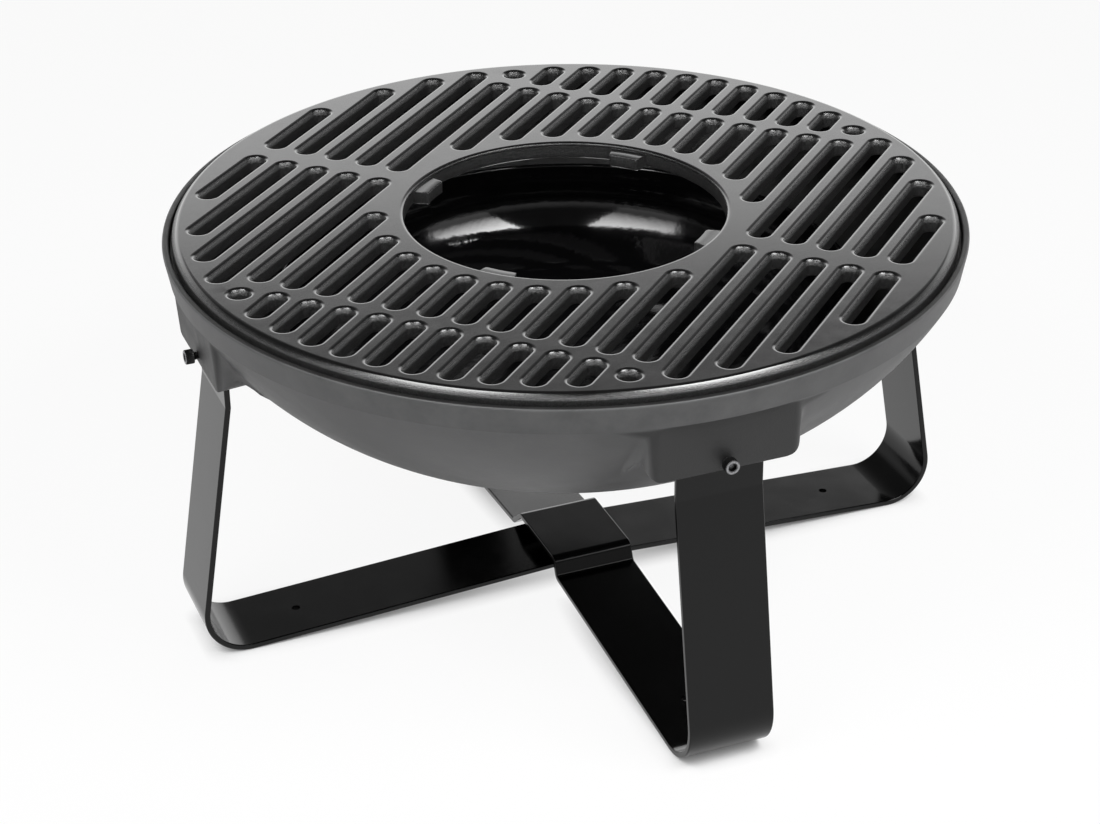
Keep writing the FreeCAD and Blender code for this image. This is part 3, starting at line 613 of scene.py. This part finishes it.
def slotRuns():
    # Middle lines of the slots, in columns one pitch apart: from the hole's land or the centre rib out to
    # the outer land, parted by the second rib. A run that is too short becomes a round hole at its middle.
    across = (np.arange(grate["columns"]) + 0.5) * grate["pitch"]
    outside = np.sqrt(grate["outerCircle"] ** 2 - across ** 2)
    chord = np.sqrt(np.clip(grate["innerCircle"] ** 2 - across ** 2, 0, None))
    inside = np.maximum(chord, grate["centreRib"])
    parted = across < grate["secondRibReach"]
    before, beyond = grate["secondRib"]
    first = np.concatenate([inside, np.full(parted.sum(), beyond)])
    last = np.concatenate([np.where(parted, before, outside), outside[parted]])
    column = np.concatenate([across, across[parted]])
    middle = (first + last) / 2
    short = last - first < grate["shortest"]
    first, last = np.where(short, middle, first), np.where(short, middle, last)
    ends = np.sort(quadrants[:, :1, None] * np.stack([first, last], axis=-1)[None], axis=2).reshape(-1, 2)
    return ends, (quadrants[:, 1:] * column[None]).reshape(-1)


def edgeProfile(rounds):
    # From the top plane over a worn edge to the wall and down to the foot: distance from the wall, level,
    # and the two parts of the normal, towards the opening and up. The edge is a chain of rounds, given as
    # (radius, last angle, steps): a step goes outwards by radius * its gain in sine and down by radius *
    # its loss in cosine.
    starts = [0] + [last for _, last, _ in rounds[:-1]]
    turns = [np.linspace(start, last, steps + 1)[1:] for start, (_, last, steps) in zip(starts, rounds)]
    radius = np.concatenate([np.full(steps, size) for size, _, steps in rounds])
    bend = np.radians(np.concatenate([[0.0]] + turns))
    out = np.concatenate([[0.0], np.cumsum(radius * np.diff(np.sin(bend)))])
    drop = np.concatenate([[0.0], np.cumsum(-radius * np.diff(np.cos(bend)))])
    curve = np.stack([out[-1] - out, grate["top"] - drop, np.sin(bend), np.cos(bend)], axis=1)
    foot = np.array([
        (0.0, grate["foot"] + grate["wallFoot"], 1.0, 0.0),
        (0.0, grate["foot"] + grate["under"], 1.0, 0.0),
        (grate["under"], grate["foot"], 0.0, -1.0),
    ])
    return np.concatenate([curve, foot])


def tabProfile(angle):
    # The hole's wall by angle, with its tabs: the reach is a flat end with round corners, and the rows run
    # from the top plane over the edge, down the wall, out along the tab's top and down its end.
    hole, tabRound, tabSide = grate["hole"], grate["tabRound"], grate["tabSide"]
    apart = 2 * np.pi / grate["tabCount"]
    beside = np.abs((angle + apart / 2) % apart - apart / 2) * hole
    past = np.clip(beside - (grate["tabHalf"] - tabRound), 0, tabRound)
    ends = grate["tabReach"] - tabRound + np.sqrt(tabRound ** 2 - past ** 2)
    side = np.clip((grate["tabHalf"] + tabSide - beside) / tabSide, 0, 1)
    reach = ends * side * side * (3 - 2 * side)
    edge = edgeProfile(grate["holeRounds"])[:grate["edgeRows"]]
    rows = [(hole + out * np.ones_like(angle), level) for out, level, _, _ in edge]
    for rise, share, back in grate["tabRows"]:
        setBack = np.minimum(back, grate["backLimit"] * reach)
        rows.append((hole - reach * share + setBack, grate["tabLevel"] + rise))
    rows.append((hole - reach, grate["foot"] + grate["under"]))
    rows.append((hole - reach + grate["under"], grate["foot"]))
    return np.array([row[0] for row in rows]), np.array([row[1] for row in rows])


def planeFill(loops, ends, across, slotRadius):
    # Delaunay triangles between the loops, without those whose middle lies in the hole or in a slot
    points = np.concatenate(loops)
    starts = np.cumsum([0] + [len(loop) for loop in loops[:-1]])
    counts = [np.arange(len(loop)) for loop in loops]
    edges = np.concatenate([np.stack([count, np.roll(count, -1)], axis=1) + start
                            for count, start in zip(counts, starts)])
    result = delaunay_2d_cdt([tuple(point) for point in points.tolist()], edges.tolist(), [], 0, 1e-6)
    kept = np.array([source[0] for source in result[3]])
    triangles = kept[np.array(result[2])]
    middle = points[triangles].mean(axis=1)
    along = np.clip(middle[:, None, 0], ends[None, :, 0], ends[None, :, 1])
    gap = np.hypot(middle[:, None, 0] - along, middle[:, None, 1] - across[None]) - slotRadius
    holeX, holeY = loops[1].T
    holeReach = np.interp(np.arctan2(middle[:, 1], middle[:, 0]), np.arctan2(holeY, holeX),
                          np.hypot(holeX, holeY), period=2 * np.pi)
    return triangles[(gap.min(axis=1) > 0) & (np.hypot(middle[:, 0], middle[:, 1]) > holeReach)]


def grateSurfaceGrid():
    # Every opening is a closed loop carried down its edge profile, the ring's wall is such a loop turned
    # outwards, and the two planes are filled between the loops.
    offset, level, inward, upward = edgeProfile(grate["slotRounds"]).T
    ringOffset, ringLevel, ringOutward, ringUpward = edgeProfile(grate["ringRounds"]).T
    holeInward, holeUpward = edgeProfile(grate["holeRounds"]).T[2:]
    ends, across = slotRuns()
    bend = np.radians(np.linspace(-90, 90, grate["endSteps"]))
    fan = np.concatenate([bend, bend + np.pi])
    spokes = turned((1.0, 0.0), fan)
    along = np.repeat(ends[:, ::-1], len(bend), axis=1)
    middles = np.stack([along, np.repeat(across[:, None], len(fan), axis=1)], axis=-1)
    reach = grate["slotHalf"] + offset
    slotPlan = middles[:, None] + reach[:, None, None] * spokes
    slotPoints = raised(slotPlan, level[:, None, None])
    slotSides = np.broadcast_to(-inward[:, None, None] * spokes, slotPlan.shape)
    slotNormals = raised(slotSides, upward[:, None, None])

    turn = np.linspace(0, 2 * np.pi, grate["ringSteps"], endpoint=False)
    ray = turned((1.0, 0.0), turn)
    ringPoints = raised((grate["radius"] - ringOffset)[:, None, None] * ray, ringLevel[:, None, None])
    ringNormals = raised(ringOutward[:, None, None] * ray, ringUpward[:, None, None])

    apart = 2 * np.pi / grate["tabCount"]
    near = np.linspace(-grate["tabSpan"], grate["tabSpan"], grate["tabSteps"]) / grate["hole"]
    clear = np.linspace(near[-1], apart + near[0], grate["clearSteps"])[1:-1]
    starts = apart * np.arange(grate["tabCount"])
    holeTurn = (np.concatenate([near, clear])[None] + starts[:, None]).reshape(-1)
    holeRay = turned((1.0, 0.0), holeTurn)
    holeRadius, holeLevel = tabProfile(holeTurn)
    holePoints = raised(holeRadius[:, :, None] * holeRay, holeLevel[:, None, None])
    alongRows = np.gradient(holePoints, axis=0)
    alongTurn = np.roll(holePoints, -1, axis=1) - np.roll(holePoints, 1, axis=1)
    holeNormals = np.cross(alongRows, alongTurn)
    holeNormals /= np.linalg.norm(holeNormals, axis=2)[:, :, None]
    edge = grate["edgeRows"]
    holeNormals[:edge] = raised(-holeInward[:edge, None, None] * holeRay, holeUpward[:edge, None, None])
    holeNormals[-1] = (0, 0, -1)

    slotCount, rows, steps = slotPoints.shape[:3]
    points = [slotPoints.reshape(-1, 3), ringPoints.reshape(-1, 3), holePoints.reshape(-1, 3)]
    normals = [slotNormals.reshape(-1, 3), ringNormals.reshape(-1, 3), holeNormals.reshape(-1, 3)]
    ringStart = len(points[0])
    holeStart = ringStart + len(points[1])
    slotFirst = np.arange(slotCount) * rows * steps
    faces = [(gridFaces(rows, steps)[None] + slotFirst[:, None, None]).reshape(-1, 4),
             gridFaces(rows, len(turn)) + ringStart,
             gridFaces(len(holeRadius), len(holeTurn)) + holeStart]
    for row, slotRow, holeRow in ((0, 0, 0), (-1, rows - 1, len(holeRadius) - 1)):
        loops = [ringPoints[row, :, :2], holePoints[row, :, :2]] + list(slotPoints[:, row, :, :2])
        onRing = ringStart + slotRow * len(turn) + np.arange(len(turn))
        onHole = holeStart + holeRow * len(holeTurn) + np.arange(len(holeTurn))
        onSlots = slotFirst[:, None] + slotRow * steps + np.arange(steps)
        numbers = np.concatenate([onRing, onHole, onSlots.reshape(-1)])
        faces.append(numbers[planeFill(loops, ends, across, grate["slotHalf"] + offset[row])])
    points, normals = np.concatenate(points), np.concatenate(normals)
    return points, normals, [facedOut(points, normals, group) for group in faces]


def facedOut(points, normals, faces):
    # the faces, turned over where their own normal looks away from their vertices' normals
    first, second, third = (points[faces[:, index]] for index in range(3))
    alike = (np.cross(second - first, third - first) * normals[faces].mean(axis=1)).sum(axis=1)
    return np.where(alike[:, None] > 0, faces, faces[:, ::-1])


gratePoints, grateNormals, grateFaces = grateSurfaceGrid()
spin = turnMatrix(np.radians(grate["turn"]))
gratePiece = newObject("grateCasting", gratePoints @ spin, grateFaces)
gratePiece.data.normals_split_custom_set_from_vertices((grateNormals @ spin).tolist())
place(gratePiece, "grate", "grate_iron", "grill_grate", grateSurface)
print("grate made:", len(gratePiece.data.polygons), "faces")


# leg straps

strap = {
    "half": 30.0, "thickness": 4.0, "edge": 0.9, "edgeSteps": 6, "legMiddle": 254.7, "legTop": 229.0,
    "knee": 193.5, "kneeBend": 6.0, "kneeSteps": 8, "footCentre": (251.0, 32.0), "footBend": 30.0,
    "footSteps": 28, "anchor": 210.0, "anchorRadius": 3.0, "anchorCut": (-5.0, 20.0), "sharpAngle": 40.0,
    "crown": (0.0, 14.4, 300.0, 10), "joggleBend": 5.0, "joggleSteps": 10,
    "joggle": ((51.0, 16.5), (45.5, 29.0), (-20.0, 29.0), (-35.0, 16.5)),
}


def footCorner(knee, inner, side):
    # where the tangents from the knee and from the inner corner to the foot's circle meet
    centre = np.array([strap["footCentre"][0] * side, strap["footCentre"][1]])
    radius = strap["footBend"]
    away = np.array([side, -1.0])
    outwards = []
    for point in (knee, inner):
        ray = np.array(point) - centre
        lean = np.arccos(radius / np.linalg.norm(ray))
        choices = turned(ray / np.linalg.norm(ray), np.array([lean, -lean]))
        outwards.append(choices[np.argmax(choices @ away)])
    return centre + (outwards[0] + outwards[1]) * radius / (1 + outwards[0] @ outwards[1])


def strapLine(middle):
    # middle line of a bar: leg end, knee, foot, the corners between, foot, knee, leg end
    corners = []
    for side, inner in ((1, middle[0]), (-1, middle[-1])):
        knee = (side * strap["legMiddle"], strap["knee"])
        foot = footCorner(knee, inner[:2], side)
        top = (knee[0], strap["legTop"], 0, 0)
        corners.append([top, (*knee, strap["kneeBend"], strap["kneeSteps"]),
                        (*foot, strap["footBend"], strap["footSteps"])])
    return roundedLine(corners[0] + list(middle) + corners[1][::-1])


def strapBar(name, middle, turn):
    # a flat bar with rounded edges: the section's outline carried along the middle line, on its normals
    path, normals = strapLine(middle)
    edge = strap["edge"]
    bend = np.radians(np.linspace(0, 90, strap["edgeSteps"])[None] + 90.0 * np.arange(4)[:, None])
    out = quadrants[:, :1] * (strap["thickness"] / 2 - edge) + edge * np.cos(bend)
    side = quadrants[:, 1:] * (strap["half"] - edge) + edge * np.sin(bend)
    out, side = out.reshape(-1), side.reshape(-1)
    flat = path[:, None] + normals[:, None] * out[None, :, None]
    points = np.stack([flat[..., 0], np.broadcast_to(side[None], flat.shape[:2]), flat[..., 1]], axis=-1)
    rows, columns = flat.shape[:2]
    loop = np.arange(columns)[None]
    faces = [gridFaces(rows, columns), loop, loop[:, ::-1] + (rows - 1) * columns]
    swing = turnMatrix(turn)
    piece = newObject(name, points.reshape(-1, 3) @ swing, faces)
    holes = np.array([(strap["anchor"], 0), (-strap["anchor"], 0)])
    starts, ends = (raised(holes, level) @ swing for level in strap["anchorCut"])
    cutAway(piece, tubes("anchor cutter", starts, ends, strap["anchorRadius"]))
    piece.data.set_sharp_from_angle(angle=np.radians(strap["sharpAngle"]))
    even = piece.modifiers.new("even shading", "WEIGHTED_NORMAL")
    even.mode = "FACE_AREA"
    even.weight = 100
    even.keep_sharp = True
    return piece


lowerBar = strapBar("lowerStrapBar", [strap["crown"]], 0.0)
place(lowerBar, "stand", "strap_coating", "lower_leg_strap", strapSurface)
joggle = [(*corner, strap["joggleBend"], strap["joggleSteps"]) for corner in strap["joggle"]]
upperBar = strapBar("upperStrapBar", joggle, -np.pi / 2)
place(upperBar, "stand", "strap_coating", "upper_leg_strap", strapSurface)
print("straps made:", len(lowerBar.data.polygons) + len(upperBar.data.polygons), "faces")


# leg screws

screw = {
    "seat": 268.5, "level": 221.5, "length": 16.0, "radius": 3.0, "tip": 2.3, "tipLength": 0.6,
    "pitch": 1.0, "threadDepth": 0.55, "threadFrom": -8.0, "threadTo": -0.45, "threadStep": 0.125,
    "steepness": 1.25, "crest": 0.12, "runOut": 0.2, "columns": 144, "sharpAngle": 40.0,
    "head": 5.0, "knurls": 36, "knurlDepth": 0.16, "knurlPower": 0.6, "socketFlats": 5.0,
    # rows of level above the head's underside and radius: below the head, and round its top
    "neck": ((-0.4, 2.75), (-0.12, 2.9), (0.0, 3.15), (0.0, 4.6), (0.12, 4.9), (0.35, 5.0)),
    "knurlLevels": (0.6, 2.9, 5.1),
    "crown": ((5.35, 4.97), (5.75, 4.82), (5.95, 4.5), (6.0, 4.2), (6.0, 3.75), (6.0, 3.3), (5.88, 3.12)),
    # real wear by row round the crown, and a painted highlight at the socket's bottom
    "crownWear": (0.0, 0.1, 0.55, 1.0, 1.0, 0.9, 0.35), "socketGlint": 0.8,
    # rows of the socket: level and share of the hexagon, and the end of its bottom cone
    "socket": ((5.5, 1.0), (4.0, 1.0), (3.0, 1.0), (2.95, 0.9)), "socketEnd": (2.5, 1.0),
    "sides": {"right": 0.0, "back": 90.0, "left": 180.0, "front": 270.0},
}


def screwGrid():
    # A turned profile of (along, radius) rows by angle. The shank's radius drops by the thread's depth times
    # a triangle wave of along / pitch plus the turn, the head's by knurls, and the socket's is a hexagon's.
    turn = np.linspace(0, 2 * np.pi, screw["columns"], endpoint=False)
    radius, start = screw["radius"], -screw["length"]
    threadRows = np.arange(screw["threadFrom"], screw["threadTo"], screw["threadStep"])
    wave = np.abs((threadRows[:, None] / screw["pitch"] + turn[None] / (2 * np.pi)) % 1 * 2 - 1)
    thread = radius - screw["threadDepth"] * np.clip(wave * screw["steepness"] - screw["crest"], 0, 1)
    knurl = screw["knurlDepth"] * np.abs(np.sin(turn * screw["knurls"] / 2)) ** screw["knurlPower"]
    hexagon = screw["socketFlats"] / 2 / np.cos((turn + np.pi / 6) % (np.pi / 3) - np.pi / 6)
    shank = ((start, screw["tip"]), (start + screw["tipLength"], radius),
             (screw["threadFrom"] - screw["runOut"], radius))
    rows = [*shank, *zip(threadRows, thread), *screw["neck"]]
    rows += [(level, screw["head"] - knurl) for level in screw["knurlLevels"]]
    crownRow = len(rows)
    rows += screw["crown"]
    rows += [(level, share * hexagon) for level, share in screw["socket"]]
    rows.append(screw["socketEnd"])
    along = np.array([row[0] for row in rows])
    reach = np.array([row[1] * np.ones_like(turn) for row in rows])
    wearAndGlint = np.zeros(len(rows))
    wearAndGlint[crownRow:crownRow + len(screw["crown"])] = screw["crownWear"]
    # a painted highlight on the socket's bottom cone, carried by the same attribute as the crown's wear
    wearAndGlint[-1] = screw["socketGlint"]
    x = np.broadcast_to(along[:, None], reach.shape)
    points = np.stack([x, reach * np.cos(turn), reach * np.sin(turn)], axis=-1).reshape(-1, 3)
    poles = np.array([[along[0], 0, 0], [along[-1], 0, 0]])
    count, columns = reach.shape
    ring = np.arange(columns)
    faces = [gridFaces(count, columns)[:, ::-1], fanFaces(count * columns, ring)[:, ::-1],
             fanFaces(count * columns + 1, (count - 1) * columns + ring)]
    wearAndGlint = np.concatenate([np.repeat(wearAndGlint, columns), wearAndGlint[[0, -1]]])
    return np.concatenate([points, poles]), faces, wearAndGlint


screwPoints, screwFaces, screwWearAndGlint = screwGrid()
for side, degrees in screw["sides"].items():
    seated = screwPoints + (screw["seat"], 0, screw["level"])
    spots = seated @ turnMatrix(np.radians(degrees))
    screwPiece = newObject("legScrew" + side.capitalize(), spots, screwFaces)
    attribute = screwPiece.data.attributes.new("wearAndGlint", "FLOAT", "POINT")
    attribute.data.foreach_set("value", screwWearAndGlint)
    screwPiece.data.set_sharp_from_angle(angle=np.radians(screw["sharpAngle"]))
    place(screwPiece, "stand", "screw_steel", "leg_screw_" + side, screwSurface)
print("screws made:", len(screwPoints) * len(screw["sides"]), "points")


# floor, light and camera

studio = {
    "floorSize": 40.0, "floorLevel": -0.3, "floorColour": (0.8, 0.8, 0.8, 1), "floorWhite": 0.92,
    "whiteCentre": (0.164, 0.419), "whiteRadius": (4.0, 18.0), "contact": 0.015,
    "turn": -21.4, "worldBack": 1.8, "worldFade": (0.412, 0.460), "worldSide": (0.45, 0.88),
    "worldDim": 0.19, "worldRise": (0.50, 0.75), "worldLow": 0.45, "worldFront": 0.06,
    "worldLowFade": (0.30, 0.42), "boxShares": (0.08, 2.3, 0.25, 1.0),
    "boxes": (
        {"name": "soft box left", "place": (-0.704, -0.869, 1.12), "size": (0.75, 0.95), "power": 15.0},
        {"name": "soft box right", "place": (0.856, -0.719, 1.12), "size": (0.75, 0.95), "power": 20.0},
    ),
    "camera": {"place": (-0.6199, -1.5483, 1.0484), "lens": 86.93, "tilt": 29.0904, "roll": 0.7604},
}


def paleFloor():
    # a level sheet, white to the camera and in reflections, that keeps part of its shading for the shadow
    half = studio["floorSize"] / 2 / mm
    corners = raised(quadrants * half, studio["floorLevel"])
    floor = newObject("floor", corners, [np.arange(4)[None]])
    material = bpy.data.materials.new("pale floor")
    material.use_nodes = True
    tree = material.node_tree
    tree.nodes.clear()
    path = addNode(tree, "ShaderNodeLightPath")
    seen = path.outputs["Is Camera Ray"]
    for name in ("Is Glossy Ray", "Is Transmission Ray"):
        seen = combined(tree, "MAXIMUM", seen, path.outputs[name])
    spot = addNode(tree, "ShaderNodeTexCoord").outputs["Object"]
    away = addNode(tree, "ShaderNodeVectorMath", {"operation": "DISTANCE"})
    tree.links.new(spot, away.inputs[0])
    away.inputs[1].default_value = (*studio["whiteCentre"], 0)
    pool = spread(tree, away.outputs["Value"], studio["floorWhite"], 0.0, *studio["whiteRadius"])
    contact = addNode(tree, "ShaderNodeAmbientOcclusion", {"samples": 8}, Distance=studio["contact"])
    lit = combined(tree, "MULTIPLY", pool, contact.outputs["AO"])
    matt = addNode(tree, "ShaderNodeBsdfDiffuse", Color=studio["floorColour"])
    glow = addNode(tree, "ShaderNodeEmission", Strength=1.0)
    mix = addNode(tree, "ShaderNodeMixShader")
    tree.links.new(combined(tree, "MULTIPLY", seen, lit), mix.inputs[0])
    tree.links.new(matt.outputs[0], mix.inputs[1])
    tree.links.new(glow.outputs[0], mix.inputs[2])
    out = addNode(tree, "ShaderNodeOutputMaterial")
    tree.links.new(mix.outputs[0], out.inputs["Surface"])
    floor.data.materials.append(material)


def studioWorld():
    # Brightness by direction: light at the back, up to some way above the horizon, dim for a while above
    # that, faint low down all round, and nearly dark overhead.
    world = bpy.data.worlds.new("studio")
    bpy.context.scene.world = world
    world.use_nodes = True
    tree = world.node_tree
    background = tree.nodes["Background"]
    background.inputs["Color"].default_value = (1, 1, 1, 1)
    turn = np.radians(studio["turn"])
    backwards = (-np.sin(turn), np.cos(turn), 0)
    direction = addNode(tree, "ShaderNodeTexCoord").outputs["Generated"]
    ahead = addNode(tree, "ShaderNodeVectorMath", {"operation": "DOT_PRODUCT"})
    tree.links.new(direction, ahead.inputs[0])
    ahead.inputs[1].default_value = backwards
    upward = addNode(tree, "ShaderNodeSeparateXYZ", Vector=direction).outputs["Z"]
    bright = spread(tree, upward, 1.0, 0.0, *studio["worldFade"])
    dim = spread(tree, upward, studio["worldDim"], 0.0, *studio["worldRise"])
    back = spread(tree, ahead.outputs["Value"], 0.0, studio["worldBack"], *studio["worldSide"])
    low = spread(tree, upward, studio["worldLow"], studio["worldFront"], *studio["worldLowFade"])
    glow = combined(tree, "MULTIPLY", back, combined(tree, "MAXIMUM", bright, dim))
    tree.links.new(combined(tree, "ADD", glow, low), background.inputs["Strength"])


def softBoxes():
    # flat lamps that look at the bowl, brighter towards their upper edge
    turn = Matrix.Rotation(np.radians(studio["turn"]), 3, "Z")
    for box in studio["boxes"]:
        lamp = bpy.data.lights.new(box["name"], "AREA")
        lamp.shape = "RECTANGLE"
        lamp.size, lamp.size_y = box["size"]
        lamp.energy = box["power"]
        lamp.use_nodes = True
        tree = lamp.node_tree
        across = addNode(tree, "ShaderNodeNewGeometry").outputs["Parametric"]
        upward = addNode(tree, "ShaderNodeSeparateXYZ", Vector=across).outputs["Y"]
        share = spread(tree, upward, *studio["boxShares"])
        tree.links.new(share, tree.nodes["Emission"].inputs["Strength"])
        holder = bpy.data.objects.new(box["name"], lamp)
        spot = turn @ Matrix.Translation(box["place"]).to_translation()
        holder.location = spot
        holder.rotation_euler = spot.to_track_quat("Z", "Y").to_euler()
        bpy.context.scene.collection.objects.link(holder)


def photoCamera():
    # stands at the photograph's own place: turned about the upright axis, tilted down and rolled a little
    look = studio["camera"]
    lens = bpy.data.cameras.new("camera")
    lens.sensor_fit = "HORIZONTAL"
    lens.sensor_width = 36.0
    lens.lens = look["lens"]
    lens.clip_end = 100.0
    holder = bpy.data.objects.new("camera", lens)
    turn = Matrix.Rotation(np.radians(studio["turn"]), 4, "Z")
    tilt = Matrix.Rotation(np.radians(90 - look["tilt"]), 4, "X")
    roll = Matrix.Rotation(np.radians(-look["roll"]), 4, "Z")
    holder.matrix_world = Matrix.Translation(look["place"]) @ (turn @ tilt @ roll)
    bpy.context.scene.collection.objects.link(holder)
    bpy.context.scene.camera = holder


paleFloor()
studioWorld()
softBoxes()
photoCamera()
bpy.context.scene.view_settings.view_transform = "Standard"
print("studio made")
